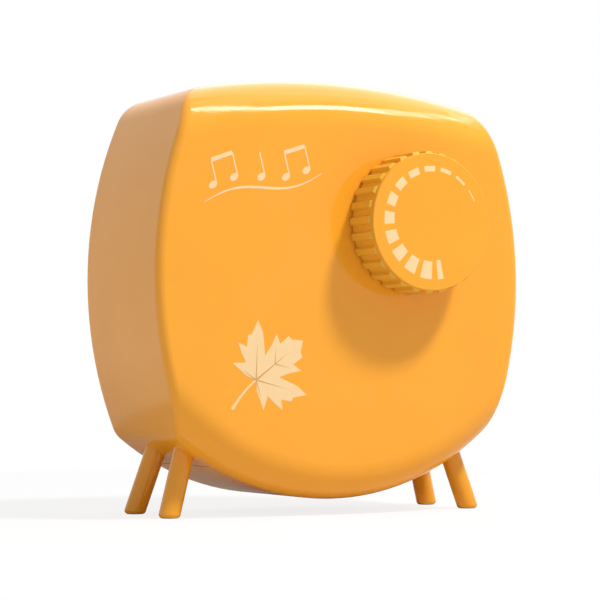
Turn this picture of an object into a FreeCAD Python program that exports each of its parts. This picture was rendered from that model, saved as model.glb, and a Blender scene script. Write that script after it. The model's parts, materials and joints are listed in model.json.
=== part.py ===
import FreeCAD, Part
import math
import os

from FreeCAD import Rotation, Vector

# Wind-up cylinder music box in a plastic case shaped like an old television set.
# Millimetres. The floor is z = 0, the front faces -Y, and x = 0 is the middle of the case.

# Case outline, seen from the front
case_width = 99.3
case_height = 100.1
floor_gap = 3.6
side_radius = 97.5
widest_height = 56.4
crown_radius = 185.5
belly_radius = 66.0
crown_corner = 9.5
belly_corner = 6.0

# Case depth, walls and edge rounds
case_depth = 40.0
wall = 2.4
crown_round = 11.2
belly_round = 8.5
wide_round_overlap = 0.1
side_round = 2.0
inner_round = 1.0
rear_edge_round = 0.6

# Rear cover and its screws
cover_thickness = 2.4
cover_rim = 1.2
cover_clearance = 0.15
cover_post_radius = 3.5
cover_post_inset = 7.0
cover_post_drop = 14.9
cover_post_rise = 26.0
post_web = 2.0
cover_screw_head_radius = 2.5
cover_screw_head = 1.2
cover_screw_shank_radius = 1.25
cover_screw_length = 9.0
cross_share = 0.6

# Base panel let into the underside
panel_leg_gap = 6.0
panel_front_margin = 0.3
panel_rear_margin = 0.8
panel_gap = 0.3
panel_flange = 1.4
panel_flange_thickness = 1.2

# Peg legs
leg_radius = 2.5
leg_foot_inset = 8.15
leg_front_setback = 10.95
leg_rear_setback = 10.0
leg_splay_side = 17.5
leg_splay_front = 7.0
leg_foot_round = 0.9
leg_tenon_radius = 1.7
leg_tenon_past_wall = 0.8

# Winding knob
knob_x = 17.45
knob_height = 69.5
knob_stand = 10.0
knob_gap = 0.4
knob_radius = 16.35
knob_face_round = 0.25
knob_ridges = 28
knob_ridge_height = 0.6
knob_groove_depth = 0.15
knob_ridge_base = 2.3
knob_ridge_top = 1.5
knob_ridge_stop = 0.9
knob_ridge_slope = 0.45
knob_wall = 1.8
knob_hub_radius = 4.0

# Winding arbor, spring drum and mainspring
arbor_radius = 2.0
arbor_grip = 6.4
arbor_hole_clearance = 1.2
running_clearance = 0.05
seat_clearance = 0.02
boss_height = 2.0
boss_wall = 1.0
plate_thickness = 2.5
drum_radius = 12.0
drum_height = 9.5
drum_wall = 0.8
drum_spigot = 1.0
cast_root = 0.5
spring_strip = 0.3
spring_turns = 7
spring_inner_radius = 2.6
spring_side_gap = 0.5

# Great wheel, a crown gear that drives the cylinder's pinion
crown_module = 0.7
crown_teeth = 30
crown_pinion_teeth = 10
crown_face = 2.0
crown_pinion_face = 1.6
great_wheel_gap = 0.4
great_wheel_thickness = 1.0
crown_addendum = 0.65
crown_dedendum = 0.9
tooth_share = 0.42
pressure_angle = 20.0

# Ratchet and clicks on the great wheel
ratchet_teeth = 12
ratchet_radius = 4.6
ratchet_tooth = 0.9
ratchet_thickness = 1.3
click_width = 1.6
click_pivot_radius = 7.4
click_gap = 0.1
click_heel = 1.5
clip_radius = 3.2
clip_thickness = 0.8

# Pinned cylinder and comb
notes = 18
note_pitch = 1.0
cylinder_radius = 6.5
cylinder_wall = 0.7
cylinder_margin = 0.7
cylinder_arbor_radius = 1.0
pin_radius = 0.2
pin_height = 0.6
pins_per_note = 7
comb_clearance = 0.15
comb_tooth_thickness = 0.9
comb_slot = 0.25
comb_base_thickness = 2.0
comb_base_length = 10.0
comb_long_tooth = 15.0
comb_short_tooth = 9.0
comb_side_margin = 0.45
comb_screw_inset = 4.0

# Cylinder bearing and end float
bearing_thickness = 2.0
bearing_half_width = 4.0
foot_thickness = 1.6
bearing_foot_length = 8.0
end_float = 0.4

# Governor: spur wheel and pinion, worm wheel, worm and air brake
train_module = 0.4
cylinder_wheel_teeth = 45
governor_pinion_teeth = 9
gear_face = 1.2
wheel_addendum = 0.75
pinion_addendum = 0.9
gear_dedendum = 1.2
fine_tooth_share = 0.4
worm_wheel_teeth = 24
worm_radius = 1.6
worm_turns = 4
worm_tip = 0.8
worm_root = 1.0
worm_thread_share = 0.4
governor_arbor_radius = 0.7
worm_shaft_radius = 0.6
frame_plate = 1.6
frame_foot = 6.0
frame_margin = 4.8
brake_radius = 4.6
brake_hub_radius = 1.3
brake_blade = 0.5
brake_height = 2.6
brake_gap = 0.5
brake_side_gap = 0.6
bridge_gap = 0.4

# Small screws of the movement
screw_shank_radius = 1.0
screw_head_radius = 2.0
screw_head = 1.2
screw_slot = 0.5
movement_screw_length = 4.6
comb_screw_length = 6.0
foot_screw_length = 3.2

# Outline of the bedplate round what it carries
plate_margin = 1.5
plate_corner = 3.0
plate_cut = 16.0

# How far a hole is cut past a face, and the smallest length that counts
past = 1.0
hair = 1e-5

# Places worked out from the sizes above
FRONT = -(case_depth - knob_stand) / 2
REAR = FRONT + case_depth
INNER_FRONT = FRONT + wall
COVER_INNER = REAR - cover_thickness
CASE_TOP = floor_gap + case_height
CROWN_CENTRE = (0.0, CASE_TOP - crown_radius)
BELLY_CENTRE = (0.0, floor_gap + belly_radius)
RIGHT_CENTRE = (case_width / 2 - side_radius, widest_height)
LEG_FOOT_X = case_width / 2 - leg_foot_inset
PLATE_FRONT = INNER_FRONT + boss_height
PLATE_BACK = PLATE_FRONT + plate_thickness
DRUM_TOP = PLATE_BACK + drum_height
WHEEL_FRONT = DRUM_TOP + great_wheel_gap
WHEEL_BACK = WHEEL_FRONT + great_wheel_thickness
CROWN_RADIUS = crown_module * crown_teeth / 2
PINION_RADIUS = crown_module * crown_pinion_teeth / 2
CYLINDER_Y = WHEEL_BACK + crown_dedendum * crown_module + PINION_RADIUS
CYLINDER_Z = knob_height
PIN_TIP = cylinder_radius + pin_height
DRIVE_RADIUS = max(drum_radius, CROWN_RADIUS + crown_face / 2)
BEARING_RIGHT = knob_x - DRIVE_RADIUS - end_float
BEARING_LEFT = BEARING_RIGHT - bearing_thickness
CYLINDER_RIGHT = BEARING_LEFT - end_float
CYLINDER_LENGTH = notes * note_pitch + 2 * cylinder_margin
CYLINDER_LEFT = CYLINDER_RIGHT - CYLINDER_LENGTH
WHEEL_LEFT = CYLINDER_LEFT - gear_face
FRAME_RIGHT = WHEEL_LEFT - end_float
WORM_X = FRAME_RIGHT - frame_plate - brake_side_gap - brake_radius
FRAME_LEFT = WORM_X - brake_radius - brake_side_gap - frame_plate
TRAIN_DISTANCE = train_module * (cylinder_wheel_teeth + governor_pinion_teeth) / 2
GOVERNOR_Z = CYLINDER_Z - TRAIN_DISTANCE
WORM_WHEEL_RADIUS = train_module * worm_wheel_teeth / 2
WORM_Z = GOVERNOR_Z - WORM_WHEEL_RADIUS - worm_radius
WORM_PITCH = math.pi * train_module
BRAKE_Y = CYLINDER_Y + WORM_WHEEL_RADIUS + train_module + brake_gap
BRIDGE_Y = BRAKE_Y + brake_height + bridge_gap
COMB_TIP_Z = CYLINDER_Z - PIN_TIP - comb_clearance
COMB_ROOT_Z = COMB_TIP_Z - comb_long_tooth
COMB_END_Z = COMB_ROOT_Z - comb_base_length
COMB_FRONT = CYLINDER_Y - comb_tooth_thickness / 2
COMB_BACK = COMB_FRONT + comb_base_thickness
FOOT_BACK = PLATE_BACK + foot_thickness
FRAME_LOW = WORM_Z - frame_margin
FRAME_HIGH = GOVERNOR_Z + frame_margin
PLATE_LEFT = FRAME_LEFT - plate_margin
PLATE_RIGHT = knob_x + DRIVE_RADIUS + plate_margin
PLATE_TOP = knob_height + DRIVE_RADIUS + plate_margin
PLATE_LOW = min(COMB_END_Z, FRAME_LOW - frame_foot) - plate_margin
TO_REAR = Vector(0, 1, 0)
TO_RIGHT = Vector(1, 0, 0)
UP = Vector(0, 0, 1)
ZERO = Vector(0, 0, 0)


def column(radius, x, z, y_start, y_end):
    """A round bar that runs front to rear."""
    return Part.makeCylinder(radius, y_end - y_start, Vector(x, y_start, z), TO_REAR)


def bar(radius, y, z, x_start, x_end):
    """A round bar that runs left to right."""
    return Part.makeCylinder(radius, x_end - x_start, Vector(x_start, y, z), TO_RIGHT)


def block(x_start, x_end, y_start, y_end, z_start, z_end):
    """A plain block between two corners."""
    corner = Vector(x_start, y_start, z_start)
    return Part.makeBox(x_end - x_start, y_end - y_start, z_end - z_start, corner)


def prism(points, direction):
    """A flat polygon pushed along a direction."""
    return Part.Face(Part.makePolygon(points + points[:1])).extrude(direction)


def circles_meet(centre_a, radius_a, centre_b, radius_b, upward):
    """The right-hand point where two circles of the case outline cross."""
    step_x = centre_b[0] - centre_a[0]
    step_z = centre_b[1] - centre_a[1]
    apart = math.hypot(step_x, step_z)
    along = (radius_a ** 2 - radius_b ** 2 + apart ** 2) / (2 * apart)
    aside = math.sqrt(radius_a ** 2 - along ** 2)
    middle_x = centre_a[0] + along * step_x / apart
    middle_z = centre_a[1] + along * step_z / apart
    found = []
    for side in (1, -1):
        x = middle_x - side * aside * step_z / apart
        z = middle_z + side * aside * step_x / apart
        found.append((x, z))
    return max(found, key=lambda point: point[0] + upward * point[1])


def case_prism(inset, y_start, y_end):
    """The case outline drawn in by inset: four bulging sides with rounded corners."""
    crown = crown_radius - inset
    belly = belly_radius - inset
    side = side_radius - inset
    high = circles_meet(CROWN_CENTRE, crown, RIGHT_CENTRE, side, 1)
    low = circles_meet(BELLY_CENTRE, belly, RIGHT_CENTRE, side, -1)

    def at(x, z):
        return Vector(x, y_start, z)

    edge = case_width / 2 - inset
    top = Part.Arc(at(-high[0], high[1]), at(0, CASE_TOP - inset), at(high[0], high[1]))
    right = Part.Arc(at(high[0], high[1]), at(edge, widest_height), at(low[0], low[1]))
    bottom = Part.Arc(at(low[0], low[1]), at(0, floor_gap + inset), at(-low[0], low[1]))
    left = Part.Arc(at(-low[0], low[1]), at(-edge, widest_height), at(-high[0], high[1]))
    wire = Part.Wire([arc.toShape() for arc in (top, right, bottom, left)])
    body = Part.Face(wire).extrude(Vector(0, y_end - y_start, 0))

    def corners(x, z):
        middles = [(e, e.CenterOfMass) for e in body.Edges]
        return [e for e, m in middles if abs(abs(m.x) - x) < hair and abs(m.z - z) < hair]

    body = body.makeFillet(crown_corner - inset, corners(high[0], high[1]))
    return body.makeFillet(belly_corner - inset, corners(low[0], low[1]))


def wide_disc(radius, centre, rim_round, inset):
    """A disc just wider than the crown's or the belly's arc, with a wide round on its front rim."""
    front = FRONT + inset
    disc = column(radius + wide_round_overlap - inset, centre[0], centre[1], front, REAR + wall)
    rim = [e for e in disc.Edges if e.BoundBox.YMax < front + hair]
    return disc.makeFillet(rim_round - inset, rim)


def with_wide_rounds(body, inset):
    """The body with its wide front rounds along the belly and the crown, drawn in by inset."""
    belly = wide_disc(belly_radius, BELLY_CENTRE, belly_round, inset)
    crown = wide_disc(crown_radius, CROWN_CENTRE, crown_round, inset)
    return body.common(belly).common(crown).Solids[0]


def sharp_edges(body):
    """The edges where two faces of a body meet at an angle."""
    found = []
    for edge in body.Edges:
        middle = edge.valueAt((edge.FirstParameter + edge.LastParameter) / 2)
        faces = [f for f in body.Faces if any(edge.isSame(e) for e in f.Edges)]
        normals = [f.normalAt(*f.Surface.parameter(middle)) for f in faces]
        if len(normals) == 2 and normals[0].getAngle(normals[1]) > math.radians(5):
            found.append(edge)
    return found


def case_outer():
    """The outside of the case: wide rounds along crown and belly, then tight ones at the sides."""
    body = case_prism(0, FRONT, REAR)
    rear = [e for e in body.Edges if e.BoundBox.YMin > REAR - hair]
    body = with_wide_rounds(body.makeFillet(rear_edge_round, rear), 0)
    return body.makeFillet(side_round, sharp_edges(body))


def case_cavity():
    """The hollow of the case, open at the rear and rounded inside the front."""
    body = case_prism(wall, INNER_FRONT, COVER_INNER)
    front = [e for e in body.Edges if e.BoundBox.YMax < INNER_FRONT + hair]
    return with_wide_rounds(body.makeFillet(inner_round, front), wall)


def belly_slice(outer_inset, inner_inset, half_angle, y_start, y_end):
    """A slice of the bottom wall between two depths below the surface."""
    outer = belly_radius - outer_inset
    inner = belly_radius - inner_inset
    turn = math.radians(half_angle)

    def at(radius, angle):
        x = BELLY_CENTRE[0] + radius * math.sin(angle)
        return Vector(x, y_start, BELLY_CENTRE[1] - radius * math.cos(angle))

    under = Part.Arc(at(outer, -turn), at(outer, 0), at(outer, turn))
    over = Part.Arc(at(inner, turn), at(inner, 0), at(inner, -turn))
    right = Part.LineSegment(at(outer, turn), at(inner, turn))
    left = Part.LineSegment(at(inner, -turn), at(outer, -turn))
    wire = Part.Wire([curve.toShape() for curve in (under, right, over, left)])
    return Part.Face(wire).extrude(Vector(0, y_end - y_start, 0))


def panel_slice(outer_inset, inner_inset, margin):
    """A slice of the base panel, grown all round by margin."""
    leg_x = LEG_FOOT_X - leg_seat_height(0) * math.tan(math.radians(leg_splay_side))
    reach = belly_radius * math.asin(leg_x / belly_radius) - panel_leg_gap + margin
    angle = math.degrees(reach / belly_radius)
    y_start = FRONT + belly_round + panel_front_margin + panel_flange - margin
    y_end = COVER_INNER - panel_rear_margin - panel_flange + margin
    return belly_slice(outer_inset, inner_inset, angle, y_start, y_end)


def base_panel():
    """Curved panel that fills the opening in the underside, with a flange inside the wall."""
    plate = panel_slice(0, wall + seat_clearance, 0)
    flange = panel_slice(wall + seat_clearance, wall + panel_flange_thickness, panel_flange)
    return plate.fuse(flange).removeSplitter()


def leg_up(side, face):
    """The upward direction of a leg's axis. Face is 1 for the front pair, -1 for the rear pair."""
    lean_x = -side * math.tan(math.radians(leg_splay_side))
    lean_y = face * math.tan(math.radians(leg_splay_front))
    return Vector(lean_x, lean_y, 1)


def leg_seat_height(depth):
    """The height where a leg's axis is this far under the belly's surface."""
    lean = math.tan(math.radians(leg_splay_side))
    radius = belly_radius - depth
    a = 1 + lean ** 2
    half_b = LEG_FOOT_X * lean + BELLY_CENTRE[1]
    c = LEG_FOOT_X ** 2 + BELLY_CENTRE[1] ** 2 - radius ** 2
    return (half_b - math.sqrt(half_b ** 2 - a * c)) / a


def leg_bar(side, face, radius, low, high):
    """A round bar along a leg's axis between two heights."""
    y = FRONT + leg_front_setback if face > 0 else REAR - leg_rear_setback
    up = leg_up(side, face)
    foot = Vector(side * LEG_FOOT_X, y, 0)
    return Part.makeCylinder(radius, up.Length * (high - low), foot + up * low, up)


def leg(side, face, outer):
    """Peg leg with a level foot, a shoulder that fits the belly and a tenon through the wall."""
    seat = leg_seat_height(0)
    reach = 2 * leg_radius
    peg = leg_bar(side, face, leg_radius, -reach, seat + reach)
    below = block(-case_width, case_width, FRONT - case_depth, REAR + case_depth, -case_height, 0)
    peg = peg.cut(below)
    foot_edges = [e for e in peg.Edges if e.BoundBox.ZMax < hair]
    peg = peg.makeFillet(leg_foot_round, foot_edges).cut(outer)
    tenon_top = leg_seat_height(wall + leg_tenon_past_wall)
    return peg.fuse(leg_bar(side, face, leg_tenon_radius, seat - reach, tenon_top))


def cover_post_places():
    """Where the four posts for the rear cover's screws stand."""
    places = []
    for z in (floor_gap + cover_post_rise, CASE_TOP - cover_post_drop):
        wall_x = RIGHT_CENTRE[0] + math.sqrt(side_radius ** 2 - (z - widest_height) ** 2)
        places += [(side * (wall_x - cover_post_inset), z) for side in (-1, 1)]
    return places


def movement_screw_places():
    """Where the bedplate is screwed to the bosses inside the front."""
    high = PLATE_TOP - plate_corner
    low_x = CYLINDER_RIGHT + boss_wall + screw_head_radius
    return [
        (PLATE_RIGHT - plate_corner, high),
        (PLATE_LEFT + plate_corner, high),
        (low_x, PLATE_LOW + 2 * plate_corner),
    ]


def housing(outer):
    """Front and side walls in one moulding, with posts, bosses, sockets and the base opening."""
    shell = outer.cut(case_cavity())
    shell = shell.cut(case_prism(cover_rim, COVER_INNER, REAR + wall))
    inside = case_prism(wall / 2, INNER_FRONT - wall / 2, COVER_INNER)
    ribs = []
    for x, z in cover_post_places():
        ribs.append(column(cover_post_radius, x, z, INNER_FRONT - wall / 2, COVER_INNER))
        outward = math.copysign(case_width, x)
        low, high = sorted((x, x + outward))
        half = post_web / 2
        web = block(low, high, INNER_FRONT - wall / 2, COVER_INNER, z - half, z + half)
        ribs.append(web.common(inside))
    for x, z in movement_screw_places():
        boss_radius = screw_head_radius + boss_wall
        ribs.append(column(boss_radius, x, z, INNER_FRONT - wall / 2, PLATE_FRONT))
    shell = shell.fuse(ribs).removeSplitter()
    arbor_hole = arbor_radius + arbor_hole_clearance
    cuts = [column(arbor_hole, knob_x, knob_height, FRONT - past, INNER_FRONT + past)]
    for x, z in cover_post_places():
        bottom = COVER_INNER - cover_screw_length
        cuts.append(column(cover_screw_shank_radius + seat_clearance, x, z, bottom, REAR))
    for x, z in movement_screw_places():
        bottom = PLATE_BACK - movement_screw_length - seat_clearance
        cuts.append(column(screw_shank_radius + seat_clearance, x, z, bottom, PLATE_BACK))
    for side in (-1, 1):
        for face in (-1, 1):
            low = leg_seat_height(-wall)
            high = leg_seat_height(2 * wall)
            cuts.append(leg_bar(side, face, leg_tenon_radius + seat_clearance, low, high))
    cuts.append(panel_slice(-wall, 2 * wall, panel_gap))
    return shell.cut(cuts)


def rear_cover():
    """Flat cover that drops into the rim at the rear, with counterbored screw holes."""
    plate = case_prism(cover_rim + cover_clearance, COVER_INNER, REAR)
    cuts = []
    for x, z in cover_post_places():
        shank = cover_screw_shank_radius + running_clearance
        cuts.append(column(shank, x, z, COVER_INNER - past, REAR + past))
        head = cover_screw_head_radius + cover_clearance
        cuts.append(column(head, x, z, REAR - cover_screw_head, REAR + past))
    return plate.cut(cuts)


def cover_screws():
    """Four cross-head screws, level with the rear cover."""
    screws = []
    for x, z in cover_post_places():
        under = REAR - cover_screw_head
        end = COVER_INNER - cover_screw_length + end_float
        head = column(cover_screw_head_radius, x, z, under, REAR)
        shank = column(cover_screw_shank_radius, x, z, end, under)
        reach = cover_screw_head_radius * cross_share
        half = screw_slot / 2
        deep = REAR - cover_screw_head * cross_share
        level = block(x - reach, x + reach, deep, REAR + past, z - half, z + half)
        upright = block(x - half, x + half, deep, REAR + past, z - reach, z + reach)
        screws.append(head.fuse(shank).cut([level, upright]))
    return Part.makeCompound(screws)


def slotted_screw(x, z, under_head, length):
    """Cheese-head screw seated on a face of the movement, with its head to the rear."""
    top = under_head + screw_head
    head = column(screw_head_radius, x, z, under_head, top)
    shank = column(screw_shank_radius, x, z, under_head - length, under_head)
    half = screw_slot / 2
    reach = screw_head_radius
    slot = block(x - reach, x + reach, top - screw_slot, top + past, z - half, z + half)
    return head.fuse(shank).cut(slot)


def screw_group(places, under_head, length):
    """Like screws of the movement, as one group."""
    return Part.makeCompound([slotted_screw(x, z, under_head, length) for x, z in places])


def knob_star(y_start, y_end):
    """The ridged cross-section of the knob's grip, pushed from front to rear."""
    points = []
    floor = knob_radius - knob_groove_depth
    peak = knob_radius + knob_ridge_height
    for ridge in range(knob_ridges):
        middle = 2 * math.pi * ridge / knob_ridges
        base = knob_ridge_base / 2 / floor
        top = knob_ridge_top / 2 / peak
        for radius, angle in ((floor, -base), (peak, -top), (peak, top), (floor, base)):
            x = knob_x + radius * math.cos(middle + angle)
            z = knob_height + radius * math.sin(middle + angle)
            points.append(Vector(x, y_start, z))
    return prism(points, Vector(0, y_end - y_start, 0))


def winding_knob():
    """Fluted knob: ridges with sloping front ends, a smooth rounded face and a hollow back."""
    face = FRONT - knob_stand
    back = FRONT - knob_gap
    core = column(knob_radius, knob_x, knob_height, face, back)
    front_edge = [e for e in core.Edges if e.BoundBox.YMax < face + hair]
    core = core.makeFillet(knob_face_round, front_edge)
    slope_start = face + knob_ridge_stop
    slope_end = slope_start + knob_ridge_slope
    floor = knob_radius - knob_groove_depth
    peak = knob_radius + knob_ridge_height
    cone = Part.makeCone(floor, peak, slope_end - slope_start,
                         Vector(knob_x, slope_start, knob_height), TO_REAR)
    envelope = cone.fuse(column(peak, knob_x, knob_height, slope_end, back))
    grip = knob_star(slope_start, back).common(envelope)
    knob = core.cut(column(knob_radius * 2, knob_x, knob_height, slope_start, back)).fuse(grip)
    hollow = column(floor - knob_wall, knob_x, knob_height, face + knob_wall, back + past)
    hub = column(knob_hub_radius, knob_x, knob_height, face + knob_wall, back)
    bore = column(arbor_radius + seat_clearance, knob_x, knob_height, back - arbor_grip, back + past)
    return knob.cut(hollow.cut(hub)).cut(bore).removeSplitter()


def bedplate():
    """Cast bedplate with a spigot for the drum and a pedestal for the comb."""
    outline = [
        (PLATE_LEFT, PLATE_LOW),
        (PLATE_RIGHT - plate_cut, PLATE_LOW),
        (PLATE_RIGHT, PLATE_LOW + plate_cut),
        (PLATE_RIGHT, PLATE_TOP),
        (PLATE_LEFT, PLATE_TOP),
    ]
    plate = prism([Vector(x, PLATE_FRONT, z) for x, z in outline], Vector(0, plate_thickness, 0))
    corners = [e for e in plate.Edges if e.BoundBox.YLength > plate_thickness - hair]
    plate = plate.makeFillet(plate_corner, corners)
    inside_drum = drum_radius - drum_wall - seat_clearance
    sunk = PLATE_BACK - cast_root
    spigot = column(inside_drum, knob_x, knob_height, sunk, PLATE_BACK + drum_spigot)
    pedestal = block(CYLINDER_LEFT, CYLINDER_RIGHT, sunk, COMB_FRONT, COMB_END_Z, COMB_ROOT_Z)
    plate = plate.fuse([spigot, pedestal]).removeSplitter()
    cuts = [column(arbor_radius + running_clearance, knob_x, knob_height, FRONT, DRUM_TOP)]
    cuts.append(column(worm_shaft_radius + running_clearance, WORM_X, WORM_Z, FRONT, DRUM_TOP))
    grip = screw_shank_radius + seat_clearance
    for x, z in movement_screw_places():
        cuts.append(column(grip, x, z, FRONT, DRUM_TOP))
    for x, z in comb_screw_places():
        bottom = COMB_FRONT - comb_screw_length - end_float
        cuts.append(column(grip, x, z, bottom, COMB_FRONT + past))
    for x, z in foot_screw_places():
        cuts.append(column(grip, x, z, FRONT, DRUM_TOP))
    return plate.cut(cuts)


def spring_drum():
    """Cup over the mainspring, seated on the bedplate."""
    cup = column(drum_radius, knob_x, knob_height, PLATE_BACK, DRUM_TOP)
    rim = [e for e in cup.Edges if e.BoundBox.YMin > DRUM_TOP - hair]
    cup = cup.makeFillet(drum_wall, rim)
    hollow = column(drum_radius - drum_wall, knob_x, knob_height, PLATE_BACK, DRUM_TOP - drum_wall)
    bore = column(arbor_radius + running_clearance, knob_x, knob_height, PLATE_BACK, DRUM_TOP + past)
    return cup.cut([hollow, bore])


def mainspring():
    """Flat steel strip wound in half circles that widen from the arbor to the drum's wall."""
    outermost = drum_radius - drum_wall - running_clearance
    half_turns = 2 * spring_turns
    step = (outermost - spring_strip - spring_inner_radius) / half_turns
    y_start = PLATE_BACK + drum_spigot + spring_side_gap
    y_end = DRUM_TOP - drum_wall - spring_side_gap

    def strip_edge(offset):
        arcs = []
        start = spring_inner_radius + offset
        centre = knob_x
        heading = 1
        for turn in range(half_turns):
            radius = start + turn * step
            if turn:
                centre -= heading * step
            first = Vector(centre + heading * radius, y_start, knob_height)
            middle = Vector(centre, y_start, knob_height + heading * radius)
            last = Vector(centre - heading * radius, y_start, knob_height)
            arcs.append(Part.Arc(first, middle, last).toShape())
            heading = -heading
        return arcs

    inner = strip_edge(0)
    outer = strip_edge(spring_strip)
    begin = Part.LineSegment(inner[0].Vertexes[0].Point, outer[0].Vertexes[0].Point).toShape()
    end = Part.LineSegment(inner[-1].Vertexes[-1].Point, outer[-1].Vertexes[-1].Point).toShape()
    wire = Part.Wire(Part.__sortEdges__(inner + [end] + outer + [begin]))
    return Part.Face(wire).extrude(Vector(0, y_end - y_start, 0))


def winding_arbor():
    """Steel arbor from the knob through the drum to the great wheel's clip."""
    start = FRONT - knob_gap - arbor_grip
    end = WHEEL_BACK + ratchet_thickness + clip_thickness + 2 * seat_clearance
    shaft = column(arbor_radius, knob_x, knob_height, start, end)
    ends = [e for e in shaft.Edges if e.Closed]
    return shaft.makeChamfer(arbor_radius / 5, ends)


def great_wheel():
    """Crown gear: a disc with a ring of upright teeth, in mesh with the cylinder's pinion."""
    outer = CROWN_RADIUS + crown_face / 2
    disc = column(outer, knob_x, knob_height, WHEEL_FRONT, WHEEL_BACK)
    bore = column(arbor_radius + seat_clearance, knob_x, knob_height, DRUM_TOP, CYLINDER_Y)
    disc = disc.cut(bore)
    pitch = 2 * math.pi * CROWN_RADIUS / crown_teeth
    slope = math.tan(math.radians(pressure_angle))
    depth = crown_dedendum * crown_module
    rise = crown_addendum * crown_module
    half = tooth_share * pitch / 2
    wide = half + depth * slope
    narrow = half - rise * slope
    sunk = great_wheel_thickness / 4
    inner = CROWN_RADIUS - crown_face / 2
    profile = [
        Vector(-inner, -sunk, -wide),
        Vector(-inner, 0, -wide),
        Vector(-inner, depth + rise, -narrow),
        Vector(-inner, depth + rise, narrow),
        Vector(-inner, 0, wide),
        Vector(-inner, -sunk, wide),
    ]
    tooth = prism(profile, Vector(-crown_face, 0, 0))
    teeth = []
    for index in range(crown_teeth):
        copy = tooth.copy()
        copy.rotate(ZERO, TO_REAR, 360 * (index + 0.5) / crown_teeth)
        copy.translate(Vector(knob_x, WHEEL_BACK, knob_height))
        teeth.append(copy)
    envelope = column(outer, knob_x, knob_height, WHEEL_FRONT, WHEEL_BACK + depth + rise)
    return disc.fuse(teeth).common(envelope).removeSplitter()


def ratchet_wheel():
    """Saw-toothed ratchet on the arbor, over the great wheel."""
    points = []
    for index in range(ratchet_teeth):
        start = 2 * math.pi * index / ratchet_teeth
        for radius in (ratchet_radius - ratchet_tooth, ratchet_radius):
            x = knob_x + radius * math.cos(start)
            points.append(Vector(x, WHEEL_BACK + seat_clearance, knob_height + radius * math.sin(start)))
    wheel = prism(points, Vector(0, ratchet_thickness, 0))
    bore = column(arbor_radius + seat_clearance, knob_x, knob_height, WHEEL_FRONT, CYLINDER_Y)
    return wheel.cut(bore)


def click_pawls():
    """Two clicks on the great wheel, each resting against a ratchet tooth."""
    pawls = []
    y_start = WHEEL_BACK + seat_clearance
    reach = ratchet_radius - ratchet_tooth / 2
    for turn in (90, 270):
        pivot = Vector(click_width, y_start, click_pivot_radius)
        body = Part.makeCylinder(click_width / 2, ratchet_thickness, pivot, TO_REAR)
        nose = [
            Vector(click_width / 2, y_start, click_pivot_radius),
            Vector(click_gap, y_start, ratchet_radius + click_gap),
            Vector(click_gap, y_start, reach + click_gap),
            Vector(click_width, y_start, ratchet_radius + 2 * click_gap),
            Vector(click_width * click_heel, y_start, click_pivot_radius),
        ]
        pawl = body.fuse(prism(nose, Vector(0, ratchet_thickness, 0))).removeSplitter()
        pawl.rotate(ZERO, TO_REAR, turn)
        pawl.translate(Vector(knob_x, 0, knob_height))
        pawls.append(pawl)
    return Part.makeCompound(pawls)


def arbor_clip():
    """Round clip that keeps the ratchet on the arbor."""
    y_start = WHEEL_BACK + ratchet_thickness + 2 * seat_clearance
    y_end = y_start + clip_thickness
    ring = column(clip_radius, knob_x, knob_height, y_start, y_end)
    bore = column(arbor_radius + seat_clearance, knob_x, knob_height, y_start - past, y_end + past)
    half = clip_thickness / 2
    above = knob_height + clip_radius + past
    mouth = block(knob_x - half, knob_x + half, y_start - past, y_end + past, knob_height, above)
    return ring.cut([bore, mouth])


def spur_gear(teeth, module, addendum, face, share, bore):
    """A spur gear on the Z axis with involute flanks, one tooth on the X axis."""
    pitch_radius = module * teeth / 2
    turn = math.radians(pressure_angle)
    base = pitch_radius * math.cos(turn)
    tip = pitch_radius + addendum * module
    root = pitch_radius - gear_dedendum * module
    half = share * math.pi / teeth

    def half_angle(radius):
        slant = math.acos(min(1.0, base / radius))
        return half + (math.tan(turn) - turn) - (math.tan(slant) - slant)

    def at(radius, angle):
        return Vector(radius * math.cos(angle), radius * math.sin(angle), 0)

    foot = max(base, root)
    middle = (foot + tip) / 2
    edges = []
    for index in range(teeth):
        axis = 2 * math.pi * index / teeth
        after = axis + 2 * math.pi / teeth
        rise = [at(radius, axis - half_angle(radius)) for radius in (foot, middle, tip)]
        fall = [at(radius, axis + half_angle(radius)) for radius in (tip, middle, foot)]
        low_end = at(root, axis + half_angle(foot))
        low_next = at(root, after - half_angle(foot))
        next_foot = at(foot, after - half_angle(foot))
        edges.append(Part.Arc(*rise).toShape())
        edges.append(Part.LineSegment(rise[2], fall[0]).toShape())
        edges.append(Part.Arc(*fall).toShape())
        if foot > root + hair:
            edges.append(Part.LineSegment(fall[2], low_end).toShape())
        edges.append(Part.LineSegment(low_end, low_next).toShape())
        if foot > root + hair:
            edges.append(Part.LineSegment(low_next, next_foot).toShape())
    gear = Part.Face(Part.Wire(edges)).extrude(Vector(0, 0, face))
    return gear.cut(Part.makeCylinder(bore, face + 2 * past, UP * -past))


def across(gear, x, y, z, first_tooth):
    """A gear laid on an axis from left to right; tooth angles start at the rear and rise."""
    gear.rotate(ZERO, UP, first_tooth)
    turn = Rotation(TO_REAR, UP, TO_RIGHT, "ZXY")
    gear.Placement = FreeCAD.Placement(Vector(x, y, z), turn).multiply(gear.Placement)
    return gear


def note_x(index):
    """The middle of one note's track on the cylinder and of its comb tooth."""
    return CYLINDER_LEFT + cylinder_margin + (index + 0.5) * note_pitch


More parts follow.
